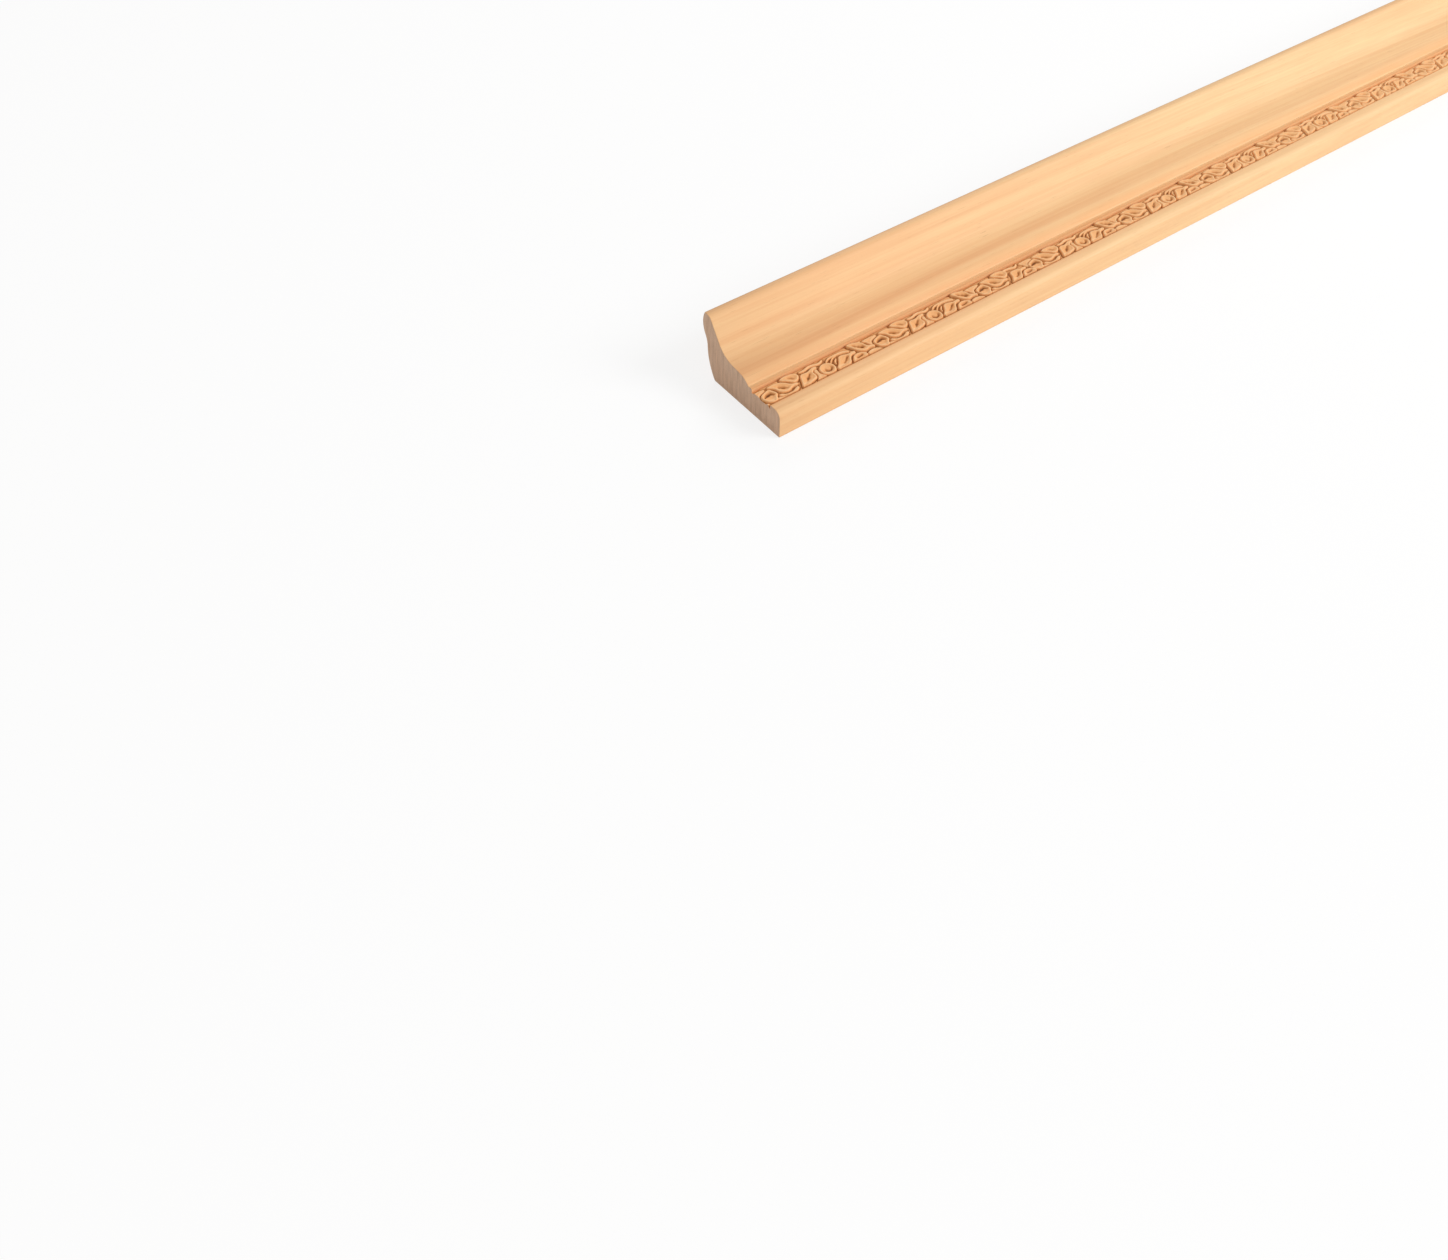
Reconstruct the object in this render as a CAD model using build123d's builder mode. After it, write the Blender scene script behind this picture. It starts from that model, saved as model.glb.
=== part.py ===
from build123d import *
from math import asin, cos, radians, sin, sqrt, tan
import os

# One length of panel moulding, planed and pressed from a single piece of hardwood. It lies on its flat
# back. Its section is a low front edge, a sunk band for the ornament, a small bead, an ogee that climbs to
# a narrow crest, and a large bead on the outer side that overhangs a hollow and a relieved heel.
# X runs along the length, Y from the front edge to the outer side, and Z up from the back.
# The origin is at the middle of the length and of the width, on the plane of the back. All in millimetres.

# Length as sold, a 4 ft stick
stock_length = 1219.2

# Overall height, from the flat back to the crest
thickness = 19.05

# Front edge: a plain strip with a round nose
nose_height = 7.75
nose_radius = 2.2
nose_strip_width = 3.95

# Sunk band that carries the pressed ornament
band_width = 7.45
band_depth = 1.35

# Small bead behind the band, with a quirk where the ogee starts
rim_bead_width = 1.3
rim_bead_height = 7.85
rim_bead_shoulder = 7.5
quirk_height = 7.6

# Ogee: an ovolo, a gently rising run and a cove that turns up into a straight slope
ovolo_width = 3.6
ovolo_height = 9.55
run_width = 3.3
run_angle = 6.0
cove_radius = 7.0
slope_angle = 57.0

# Crest: the slope rounds over into a narrow flat
crest_radius = 2.0
crest_width = 1.03

# Outer side: a bead, a hollow that runs into the upright side, and a heel relieved towards the back
bead_radius = 6.5
bead_height = 15.6
side_setback = 1.6
hollow_radius = 6.0
heel_height = 9.0
heel_relief = 2.7

# Softening of the corners that meet the back, and of the band's edges
back_arris = 0.35
band_arris = 0.2

# Places across the section, from the front edge
run_turn = radians(run_angle)
slope_turn = radians(slope_angle)
band_start = nose_strip_width
band_end = band_start + band_width
band_floor = nose_height - band_depth
quirk = (band_end + rim_bead_width, quirk_height)
ovolo_end = (quirk[0] + ovolo_width, ovolo_height)
cove_start = (ovolo_end[0] + run_width, ovolo_height + run_width * tan(run_turn))
slope_start = (
    cove_start[0] + cove_radius * (sin(slope_turn) - sin(run_turn)),
    cove_start[1] + cove_radius * (cos(run_turn) - cos(slope_turn)),
)
slope_top = thickness - crest_radius * (1 - cos(slope_turn))
slope_end = (slope_start[0] + (slope_top - slope_start[1]) / tan(slope_turn), slope_top)
crest_start = slope_end[0] + crest_radius * sin(slope_turn)
crest_end = crest_start + crest_width

# The bead's circle passes through the crest's outer corner, and its outermost point sets the width
bead_reach = sqrt(bead_radius**2 - (thickness - bead_height) ** 2)
bead_centre = crest_end - bead_reach
face_width = bead_centre + bead_radius
side_place = face_width - side_setback

# The hollow touches both the bead's circle and the upright side
hollow_centre = side_place + hollow_radius
hollow_drop = sqrt((bead_radius + hollow_radius) ** 2 - (hollow_centre - bead_centre) ** 2)
hollow_height = bead_height - hollow_drop
bead_share = bead_radius / (bead_radius + hollow_radius)
bead_foot = (
    bead_centre + bead_share * (hollow_centre - bead_centre),
    bead_height - bead_share * hollow_drop,
)
base_width = side_place - heel_relief


def draw_front_edge():
    """The front face, its nose and the strip up to the sunk band."""
    Line((0, 0), (0, nose_height - nose_radius))
    TangentArc((0, nose_height - nose_radius), (nose_radius, nose_height), tangent=(0, 1))
    Line((nose_radius, nose_height), (band_start, nose_height))


def draw_band():
    """The sunk band between its upright walls, and the small bead behind it."""
    Polyline(
        (band_start, nose_height),
        (band_start, band_floor),
        (band_end, band_floor),
        (band_end, rim_bead_shoulder),
    )
    ThreePointArc(
        (band_end, rim_bead_shoulder),
        (band_end + rim_bead_width / 2, rim_bead_height),
        quirk,
    )


def draw_ogee():
    """The ovolo, the rising run, the cove, the straight slope and the round into the crest."""
    TangentArc(ovolo_end, quirk, tangent=(-cos(run_turn), -sin(run_turn)))
    Line(ovolo_end, cove_start)
    TangentArc(cove_start, slope_start, tangent=(cos(run_turn), sin(run_turn)))
    Line(slope_start, slope_end)
    TangentArc(slope_end, (crest_start, thickness), tangent=(cos(slope_turn), sin(slope_turn)))
    Line((crest_start, thickness), (crest_end, thickness))


def draw_outer_side():
    """The bead, the hollow, the upright side and the heel, down to the back."""
    ThreePointArc((crest_end, thickness), (face_width, bead_height), bead_foot)
    TangentArc((side_place, hollow_height), bead_foot, tangent=(0, 1))
    Line((side_place, hollow_height), (side_place, heel_height))
    heel_radius = (heel_relief**2 + heel_height**2) / (2 * heel_relief)
    half_turn = asin(heel_height / heel_radius) / 2
    middle = (
        side_place - heel_radius * (1 - cos(half_turn)),
        heel_height - heel_radius * sin(half_turn),
    )
    ThreePointArc((side_place, heel_height), middle, (base_width, 0))


def corners_at(sketch, height, *places):
    """The corners of the section at this height and these places across it."""
    wanted = [Vector(place, height) for place in places]
    return [v for v in sketch.vertices() if any((Vector(v) - w).length < 0.001 for w in wanted)]


# The section, drawn from its front bottom corner
with BuildSketch() as section:
    with BuildLine() as outline:
        draw_front_edge()
        draw_band()
        draw_ogee()
        draw_outer_side()
        Line((base_width, 0), (0, 0))
    make_face()
    fillet(corners_at(section, 0, 0, base_width), back_arris)
    fillet(corners_at(section, nose_height, band_start), band_arris)
    fillet(corners_at(section, rim_bead_shoulder, band_end), band_arris)

# The near end's plane: the section stands on it across Y and Z, centred on the width
near_end = Plane(
    origin=(-stock_length / 2, -face_width / 2, 0),
    x_dir=(0, 1, 0),
    z_dir=(1, 0, 0),
)

with BuildPart() as moulding:
    with BuildSketch(near_end):
        add(section.sketch)
    extrude(amount=stock_length)

moulding.part.label = "moulding"

os.makedirs("parts", exist_ok=True)
export_step(moulding.part, "parts/moulding.step")
print(f"face width {face_width:.3f}, flat back {base_width:.3f}, band from {band_start:.2f} to {band_end:.2f}")
print(f"volume {moulding.part.volume:.1f}, bounding box {moulding.part.bounding_box()}")
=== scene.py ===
from math import atan2, ceil, cos, hypot, pi, radians, sin, sqrt, tan

import bmesh
import bpy
import numpy as np
from bpy.props import FloatProperty, FloatVectorProperty, IntProperty, PointerProperty
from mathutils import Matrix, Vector, noise


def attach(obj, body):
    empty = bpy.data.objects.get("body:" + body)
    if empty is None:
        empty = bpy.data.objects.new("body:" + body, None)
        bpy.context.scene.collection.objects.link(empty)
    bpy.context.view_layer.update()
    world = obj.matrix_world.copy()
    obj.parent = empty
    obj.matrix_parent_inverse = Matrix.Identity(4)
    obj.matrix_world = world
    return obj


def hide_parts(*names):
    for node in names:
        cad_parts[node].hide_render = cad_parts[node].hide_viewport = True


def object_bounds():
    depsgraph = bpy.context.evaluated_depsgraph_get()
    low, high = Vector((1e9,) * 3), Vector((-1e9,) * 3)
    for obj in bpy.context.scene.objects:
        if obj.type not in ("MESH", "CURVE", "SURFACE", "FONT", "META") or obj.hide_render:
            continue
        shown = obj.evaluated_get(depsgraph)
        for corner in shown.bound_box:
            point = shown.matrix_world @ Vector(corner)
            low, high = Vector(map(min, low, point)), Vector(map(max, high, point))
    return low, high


bl_info = {
    "name": "Carved Wood Moulding",
    "version": (1, 0, 0),
    "blender": (4, 5, 0),
    "location": "3D View > Sidebar > Moulding",
    "description": "A stick of panel moulding in pale hardwood, with a pressed vine in its sunk band",
    "category": "Object",
}

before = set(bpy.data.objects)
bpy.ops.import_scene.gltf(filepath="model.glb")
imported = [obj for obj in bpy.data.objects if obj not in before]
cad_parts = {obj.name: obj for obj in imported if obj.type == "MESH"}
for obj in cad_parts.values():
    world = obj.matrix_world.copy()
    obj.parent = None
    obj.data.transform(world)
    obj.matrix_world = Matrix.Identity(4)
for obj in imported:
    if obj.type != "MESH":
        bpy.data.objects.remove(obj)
cad_low, cad_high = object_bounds()

# Lengths in the file are written in millimetres and multiplied by this
MM = 0.001

# How far off a point may be and still count as on its place, and as on the plane of a cut end
SLACK = 0.02 * MM
ON_PLANE = 0.001 * MM

# Edges that turn further than this stay crisp
CRISP_ANGLE = radians(32)

# Where the camera stands, in metres, and how it is turned, in degrees, to see the stick as the photo does
CAMERA_PLACE = (-0.7342, -0.17157, 0.17935)
CAMERA_TURN = (37.9025, 1.1704, -35.8029)


def length(name, description, millimetres):
    """A length setting, given in millimetres and kept in metres."""
    return FloatProperty(
        name=name,
        description=description,
        default=millimetres * MM,
        min=0.0,
        precision=5,
        unit="LENGTH",
    )


def colour(name, description, red, green, blue):
    """A colour setting, given as it looks on a screen, from 0 to 255."""
    return FloatVectorProperty(
        name=name,
        description=description,
        default=(red / 255, green / 255, blue / 255),
        min=0.0,
        max=1.0,
        size=3,
        subtype="COLOR_GAMMA",
    )


def share(name, description, default):
    """A setting from 0 to 1."""
    return FloatProperty(
        name=name,
        description=description,
        default=default,
        min=0.0,
        max=1.0,
        subtype="FACTOR",
    )


class MouldingSection(bpy.types.PropertyGroup):
    """Sizes of the section, from the front edge to the outer side."""

    nose_height: length("Nose height", "Height of the front edge's plain strip", 7.75)
    nose_radius: length("Nose radius", "Round between the front face and the strip", 2.2)
    nose_strip_width: length("Strip width", "From the front face to the sunk band", 3.95)
    band_width: length("Band width", "Width of the sunk band", 7.45)
    band_depth: length("Band depth", "From the strip down to the band's deepest ground", 1.35)
    bed_depth: length("Bed depth", "From the strip down to the bed that the relief fills", 1.75)
    rim_bead_width: length("Rim bead width", "Width of the small bead behind the band", 1.3)
    rim_bead_height: length("Rim bead height", "Height of the small bead", 7.85)
    rim_bead_shoulder: length("Rim bead shoulder", "Height of the band's outer wall", 7.5)
    quirk_height: length("Quirk height", "Height of the crease where the ogee starts", 7.6)
    ovolo_width: length("Ovolo width", "Width of the ogee's first round", 3.6)
    ovolo_height: length("Ovolo height", "Height where the first round ends", 9.55)
    run_width: length("Run width", "Width of the gently rising run", 3.3)
    run_angle: FloatProperty(
        name="Run angle", description="Rise of the run", default=radians(6.0), subtype="ANGLE"
    )
    cove_radius: length("Cove radius", "Radius of the cove", 7.0)
    slope_angle: FloatProperty(
        name="Slope angle", description="Rise of the straight slope", default=radians(57.0), subtype="ANGLE"
    )
    crest_radius: length("Crest radius", "Round from the slope to the crest", 2.0)
    crest_width: length("Crest width", "Width of the narrow flat at the top", 1.03)
    bead_radius: length("Bead radius", "Radius of the large outer bead", 6.5)
    bead_height: length("Bead height", "Height of the outer bead's centre", 15.6)
    side_setback: length("Side setback", "How far the bead stands past the upright side", 1.6)
    hollow_radius: length("Hollow radius", "Radius of the hollow under the bead", 6.0)
    heel_height: length("Heel height", "Height where the heel's relief starts", 9.0)
    heel_relief: length("Heel relief", "How far the heel is set back at the bottom", 2.7)
    back_arris: length("Back arris", "Softening of the corners on the back", 0.35)
    band_arris: length("Band arris", "Softening of the band's upper edges", 0.2)
    end_arris: length("End arris", "Softening left by sandpaper on the cut ends", 0.12)
    arc_step: length("Arc step", "Longest straight piece in a round stretch", 0.3)
    rib_spacing: length("Rib spacing", "Distance between the mesh's cuts along the stick", 40.0)


class VineRelief(bpy.types.PropertyGroup):
    """Sizes of the pressed vine."""

    period: length("Repeat", "Length of one full repeat of the vine", 35.97)
    short_period: length("Short repeat", "Length of the repeat that closes each turn of the roller", 19.66)
    full_repeats: IntProperty(
        name="Full repeats", description="Full repeats in one turn of the roller", default=9, min=1
    )
    repeat_columns: IntProperty(
        name="Columns", description="Columns of the mesh in one full repeat", default=214, min=20
    )
    rows: IntProperty(name="Rows", description="Rows of the mesh across the band", default=44, min=10)
    first_repeats: IntProperty(
        name="First repeats",
        description="Full repeats of the roller's turn that lie before the near end",
        default=6,
        min=0,
    )
    first_part: length("First part", "How much of the next repeat the near end cuts off", 24.95)
    grow: length("Grow", "How far each outline is widened, so that the grooves close up", 0.22)
    shoulder: length("Shoulder", "Width over which an edge rounds up to its rim", 0.38)
    dish_reach: length("Dish reach", "Distance inwards from the rim at which a shape is dished", 0.7)
    groove_floor: length("Groove floor", "Height of the grooves between the shapes above the ground", 0.3)
    ground_rise: length("Ground rise", "How far open ground rises between the shapes", 0.6)
    ground_reach: length("Ground reach", "Distance from a shape at which the ground is up", 0.55)
    wall_groove: length("Wall groove", "Width of the groove along the outer wall", 0.55)
    front_groove: length("Front groove", "Distance from the front wall at which the shapes are up", 0.95)
    vein_depth: length("Vein depth", "Depth of a full stroke cut in a leaf", 0.6)
    fuzz: length("Fuzz", "Unevenness of the pressed surface", 0.03)


class WoodFinish(bpy.types.PropertyGroup):
    """Colours and grain of the wood."""

    pale: colour("Pale wood", "Early wood between the growth rings", 255, 219, 165)
    warm: colour("Warm wood", "Broad warmer streaks", 252, 202, 148)
    ring: colour("Ring line", "Late wood of the growth rings", 230, 160, 106)
    fleck: colour("Fleck", "Short dark dashes along the grain", 176, 120, 76)
    # This colour also paints shade into the band's grooves and the foot of its outer wall
    burn_and_shade: colour("Burn", "Wood browned by the hot roller", 184, 113, 45)
    # This colour also paints the shade at the bottom of the deepest cuts and grooves
    char: colour("Char", "Wood at the bottom of the deepest cuts", 102, 56, 22)
    glow: colour("Tanned", "Wood lightly tanned by the hot roller", 248, 172, 101)
    end: colour("End grain", "Sawn end", 226, 194, 167)
    end_pore: colour("End pore", "Pores of the end grain", 140, 104, 78)
    ring_spacing: length("Ring spacing", "Mean width of a growth ring", 2.1)
    roughness: share("Roughness", "Roughness of the planed faces", 0.55)


class StudioStage(bpy.types.PropertyGroup):
    """Floor, lights and camera."""

    floor_size: length("Floor size", "Half the side of the floor", 5000.0)
    floor_tone: share("Floor tone", "How pale the floor is", 0.9)
    floor_fill: share("Floor fill", "How much of the floor shows plain white, leaving a faint shadow", 0.72)
    ambient: share("Ambient", "Level of the light from all round", 0.545)
    front_level: share("Front light", "Level of the lamp on the front edge's side", 0.765)
    rear_level: share("Rear light", "Level of the lamp behind the outer side", 0.16)
    lens: FloatProperty(
        name="Lens", description="Focal length in millimetres", default=26.69, unit="CAMERA"
    )


def settings():
    """The four groups of settings."""
    scene = bpy.context.scene
    return scene.moulding_section, scene.vine_relief, scene.wood_finish, scene.studio_stage


def places_across(size):
    """Where the sunk band starts and ends, and where the ogee starts, as places on Y."""
    band_start = cad_low.y + size.nose_strip_width
    band_end = band_start + size.band_width
    return band_start, band_end, band_end + size.rim_bead_width


class SectionPen:
    """Draws the section at the near end as one chain of edges, in Y and Z."""

    def __init__(self, mesh, y, z, step):
        self.mesh = mesh
        self.step = step
        self.tip = mesh.verts.new((cad_low.x, y, z))
        self.first = self.tip

    def line(self, y, z):
        """A straight edge."""
        grown = bmesh.ops.extrude_vert_indiv(self.mesh, verts=[self.tip])
        self.tip = grown["verts"][0]
        self.tip.co = (cad_low.x, y, z)

    def turn(self, centre_y, centre_z, angle):
        """A round stretch about a centre, anticlockwise where the angle is positive."""
        radius = hypot(self.tip.co.y - centre_y, self.tip.co.z - centre_z)
        steps = max(3, ceil(abs(angle) * radius / self.step))
        spun = bmesh.ops.spin(
            self.mesh,
            geom=[self.tip],
            cent=(cad_low.x, centre_y, centre_z),
            axis=(1, 0, 0),
            angle=angle,
            steps=steps,
        )
        self.tip = next(item for item in spun["geom_last"] if isinstance(item, bmesh.types.BMVert))

    def leave(self, y, z, heading):
        """A round stretch that leaves the last point along a heading, an angle above +Y."""
        across, up = y - self.tip.co.y, z - self.tip.co.z
        half = atan2(up, across) - heading
        self.swing(across, up, atan2(sin(half), cos(half)), heading)

    def arrive(self, y, z, heading):
        """A round stretch that ends along a heading."""
        across, up = y - self.tip.co.y, z - self.tip.co.z
        chord = atan2(up, across)
        half = atan2(sin(heading - chord), cos(heading - chord))
        self.swing(across, up, half, chord - half)

    def swing(self, across, up, half, heading):
        """Turns twice the half angle, from a heading, over a chord."""
        radius = hypot(across, up) / (2 * sin(half))
        centre_y = self.tip.co.y - radius * sin(heading)
        centre_z = self.tip.co.z + radius * cos(heading)
        self.turn(centre_y, centre_z, 2 * half)

    def close(self):
        """The last edge, back to the first point."""
        self.mesh.edges.new((self.tip, self.first))


def draw_front(pen, size):
    """The front face, its nose, the strip, the bed of the sunk band and its outer wall."""
    front = cad_low.y
    band_start, band_end, _ = places_across(size)
    bed = size.nose_height - size.bed_depth
    pen.line(front, size.nose_height - size.nose_radius)
    pen.leave(front + size.nose_radius, size.nose_height, radians(90))
    pen.line(band_start, size.nose_height)
    pen.line(band_start, bed)
    pen.line(band_end, bed)
    pen.line(band_end, size.rim_bead_shoulder)


def draw_ogee(pen, size):
    """The small bead, the ovolo, the run, the cove, the slope and the crest, up to its outer corner."""
    top = cad_high.z
    _, band_end, quirk = places_across(size)
    pen.arrive(band_end + size.rim_bead_width / 2, size.rim_bead_height, 0.0)
    pen.leave(quirk, size.quirk_height, 0.0)
    ovolo_end = quirk + size.ovolo_width
    pen.arrive(ovolo_end, size.ovolo_height, size.run_angle)
    cove_start = ovolo_end + size.run_width
    cove_height = size.ovolo_height + size.run_width * tan(size.run_angle)
    pen.line(cove_start, cove_height)
    slope_start = cove_start + size.cove_radius * (sin(size.slope_angle) - sin(size.run_angle))
    slope_height = cove_height + size.cove_radius * (cos(size.run_angle) - cos(size.slope_angle))
    pen.leave(slope_start, slope_height, size.run_angle)
    slope_top = top - size.crest_radius * (1 - cos(size.slope_angle))
    slope_end = slope_start + (slope_top - slope_height) / tan(size.slope_angle)
    pen.line(slope_end, slope_top)
    crest_start = slope_end + size.crest_radius * sin(size.slope_angle)
    pen.leave(crest_start, top, size.slope_angle)
    crest_end = crest_start + size.crest_width
    pen.line(crest_end, top)
    return crest_end


def draw_outer_side(pen, size, crest_end):
    """The large bead, the hollow, the upright side and the heel, down to the corner of the back."""
    bead_rise = cad_high.z - size.bead_height
    bead_reach = sqrt(size.bead_radius**2 - bead_rise**2)
    bead_centre = crest_end - bead_reach
    side = bead_centre + size.bead_radius - size.side_setback
    gap = side + size.hollow_radius - bead_centre
    drop = sqrt((size.bead_radius + size.hollow_radius) ** 2 - gap**2)
    foot_angle = atan2(-drop, gap)
    pen.turn(bead_centre, size.bead_height, foot_angle - atan2(bead_rise, bead_reach))
    pen.arrive(side, size.bead_height - drop, radians(-90))
    pen.line(side, size.heel_height)
    base_end = side - size.heel_relief
    # The heel is drawn in longer steps, so that the back's softened corner fits in the last one
    pen.step = 3 * size.back_arris
    pen.leave(base_end, 0.0, radians(-90))
    return base_end


def draw_section(mesh, size):
    """The whole outline of the section, and the places on it that need softening."""
    pen = SectionPen(mesh, cad_low.y, 0.0, size.arc_step)
    draw_front(pen, size)
    crest_end = draw_ogee(pen, size)
    base_end = draw_outer_side(pen, size, crest_end)
    pen.close()
    band_start, band_end, _ = places_across(size)
    back_corners = [(cad_low.y, 0.0), (base_end, 0.0)]
    band_corners = [(band_start, size.nose_height), (band_end, size.rim_bead_shoulder)]
    return back_corners, band_corners


def edges_at(mesh, places):
    """The long edges that run through these places of the section."""
    found = []
    for edge in mesh.edges:
        start, end = (vert.co for vert in edge.verts)
        if abs(start.x - end.x) < MM:
            continue
        if any(hypot(start.y - y, start.z - z) < SLACK for y, z in places):
            found.append(edge)
    return found


def soften(mesh, edges, reach, segments):
    """Rounds edges over."""
    bmesh.ops.bevel(
        mesh,
        geom=edges,
        offset=reach,
        offset_type="OFFSET",
        segments=segments,
        profile=0.5,
        affect="EDGES",
        clamp_overlap=False,
        material=-1,
    )


def on_cut_end(verts):
    """Whether these vertices all lie on one of the cut ends."""
    return all(abs(abs(vert.co.x) - cad_high.x) < ON_PLANE for vert in verts)


def is_end_edge(edge, size):
    """True for an edge on the rim of a cut end, away from the sunk band and its corners."""
    middle = (edge.verts[0].co + edge.verts[1].co) / 2
    band_start, band_end, _ = places_across(size)
    past_corner = 1.5 * size.band_arris
    in_band = band_start - past_corner < middle.y < band_end + past_corner
    above_bed = middle.z > size.nose_height - size.bed_depth - SLACK
    return on_cut_end(edge.verts) and not (in_band and above_bed)


def finish_shading(mesh, sharp_angle):
    """Smooth faces, with the edges that turn further than an angle left crisp."""
    for face in mesh.faces:
        face.smooth = True
    for edge in mesh.edges:
        edge.smooth = edge.calc_face_angle(0.0) < sharp_angle


def put_in_scene(mesh, name, materials):
    """Turns a bmesh into an object that rides with the stick."""
    data = bpy.data.meshes.new(name)
    mesh.to_mesh(data)
    mesh.free()
    for material in materials:
        data.materials.append(material)
    piece = bpy.data.objects.new(name, data)
    bpy.context.scene.collection.objects.link(piece)
    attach(piece, "root")
    return piece


def mark_ends(mesh):
    """Gives the two cut ends the second material."""
    for face in mesh.faces:
        face.material_index = 1 if on_cut_end(face.verts) else 0


def make_stick(materials):
    """The planed stick: the section drawn, extruded along the length and softened."""
    size = settings()[0]
    length_of_stick = cad_high.x - cad_low.x
    mesh = bmesh.new()
    back_corners, band_corners = draw_section(mesh, size)
    section = bmesh.ops.contextual_create(mesh, geom=mesh.edges[:])["faces"]
    grown = bmesh.ops.extrude_face_region(mesh, geom=section)
    moved = [item for item in grown["geom"] if isinstance(item, bmesh.types.BMVert)]
    bmesh.ops.translate(mesh, verts=moved, vec=(length_of_stick, 0, 0))
    bmesh.ops.recalc_face_normals(mesh, faces=mesh.faces[:])
    soften(mesh, edges_at(mesh, back_corners), size.back_arris, segments=4)
    soften(mesh, edges_at(mesh, band_corners), size.band_arris, segments=3)
    end_edges = [edge for edge in mesh.edges if is_end_edge(edge, size)]
    soften(mesh, end_edges, size.end_arris, segments=2)
    # Softening can leave points on top of each other, and these are merged
    bmesh.ops.dissolve_degenerate(mesh, dist=ON_PLANE, edges=mesh.edges[:])
    long_edges = [edge for edge in mesh.edges if edge.calc_length() > size.rib_spacing]
    cuts = int(length_of_stick / size.rib_spacing)
    bmesh.ops.subdivide_edges(mesh, edges=long_edges, cuts=cuts, use_grid_fill=True)
    mark_ends(mesh)
    finish_shading(mesh, CRISP_ANGLE)
    stick = put_in_scene(mesh, "moulding_stick", materials)
    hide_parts("moulding")


class Shape:
    """A raised shape of the vine, in millimetres along the repeat and across the band."""

    def __init__(self, outline, top=0.96, dish=0.26, veins=()):
        self.line = smooth_line(outline, closed=True)
        self.top = top
        self.dish = dish
        self.veins = [smooth_line(vein, closed=False) for vein in veins]


class Stroke:
    """A raised stroke of the vine. The third number of a point is half its width."""

    def __init__(self, points, top=0.85):
        self.line = smooth_line(points, closed=False)
        self.top = top
        self.veins = []


def smooth_line(points, closed, steps=6):
    """Points along a smooth curve through the given ones."""
    given = np.array(points, float)
    if closed:
        ring = np.vstack([given[-1], given, given[0], given[1]])
    else:
        ring = np.vstack([2 * given[0] - given[1], given, 2 * given[-1] - given[-2]])
    made = []
    for before, start, end, after in zip(ring, ring[1:], ring[2:], ring[3:]):
        for step in range(steps):
            t = step / steps
            bend = 2 * before - 5 * start + 4 * end - after
            twist = 3 * start - before - 3 * end + after
            made.append(start + 0.5 * ((end - before) * t + bend * t**2 + twist * t**3))
    made.append(given[0] if closed else given[-1])
    return np.array(made)


def nearest_on(line, along, across):
    """For each point, how far it is from a line, and the line's own numbers at the nearest place."""
    start, end = line[:-1], line[1:]
    run = end[:, :2] - start[:, :2]
    squared = np.maximum((run**2).sum(1), 1e-12)
    off_along = along[..., None] - start[:, 0]
    off_across = across[..., None] - start[:, 1]
    t = np.clip((off_along * run[:, 0] + off_across * run[:, 1]) / squared, 0, 1)
    gap = np.hypot(off_along - t * run[:, 0], off_across - t * run[:, 1])
    best = gap.argmin(-1)
    t_best = np.take_along_axis(t, best[..., None], -1)
    value = start[best] * (1 - t_best) + end[best] * t_best
    return gap.min(-1), value


def is_inside(line, along, across):
    """Whether each point lies inside a closed line."""
    start, end = line[:-1], line[1:]
    crosses = (start[:, 1] > across[..., None]) != (end[:, 1] > across[..., None])
    rise = end[:, 1] - start[:, 1]
    rise = np.where(np.abs(rise) < 1e-12, 1e-12, rise)
    place = start[:, 0] + (across[..., None] - start[:, 1]) * (end[:, 0] - start[:, 0]) / rise
    return (crosses & (along[..., None] < place)).sum(-1) % 2 == 1


# The vine's shapes. Each point is millimetres from the repeat's start, then from the band's front wall
spear_leaf = Shape(
    [
        (-0.1, 0.5), (0.1, 1.35), (0.65, 2.4), (1.2, 3.55), (1.7, 4.5), (2.5, 4.95), (3.6, 4.8),
        (4.5, 4.9), (5.25, 5.2), (6.15, 5.4), (6.9, 5.25), (7.1, 4.95), (6.85, 4.7), (6.2, 4.65),
        (5.65, 4.4), (5.3, 3.9), (5.2, 3.3), (5.25, 2.55), (5.0, 1.95), (4.35, 1.6), (3.45, 1.35),
        (2.4, 1.0), (1.5, 0.7), (0.6, 0.45),
    ],
    veins=[
        [
            (2.2, 2.15, 0.2, 0.3), (2.75, 2.7, 0.3, 0.6), (3.15, 3.1, 0.4, 1.1), (3.6, 3.45, 0.3, 0.7),
            (4.2, 3.95, 0.25, 0.6),
        ]
    ],
)
pillar = Shape(
    [
        (6.45, 4.4), (6.6, 3.9), (6.5, 3.3), (6.45, 2.7), (6.6, 2.1), (6.9, 1.5), (7.25, 0.95),
        (7.1, 0.65), (5.95, 0.6), (4.75, 0.7), (4.7, 1.0), (5.2, 1.45), (5.55, 2.1), (5.65, 2.8),
        (5.6, 3.45), (5.8, 4.0), (6.15, 4.35),
    ],
    top=0.9,
)
berry = Shape(
    [
        (9.1 + 2.15 * cos(radians(angle)), 2.75 + 2.1 * sin(radians(angle)))
        for angle in range(0, 360, 20)
    ],
    top=0.98,
    dish=0.3,
    veins=[
        [
            (8.6, 3.1, 0.2, 0.5), (8.7, 2.5, 0.32, 1.0), (9.2, 2.15, 0.32, 1.05), (9.85, 2.2, 0.3, 0.9),
            (10.3, 2.65, 0.25, 0.6), (10.3, 3.0, 0.2, 0.4),
        ],
        [(7.65, 2.8, 0.2, 0.3), (7.8, 2.35, 0.2, 0.3)],
    ],
)
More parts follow.
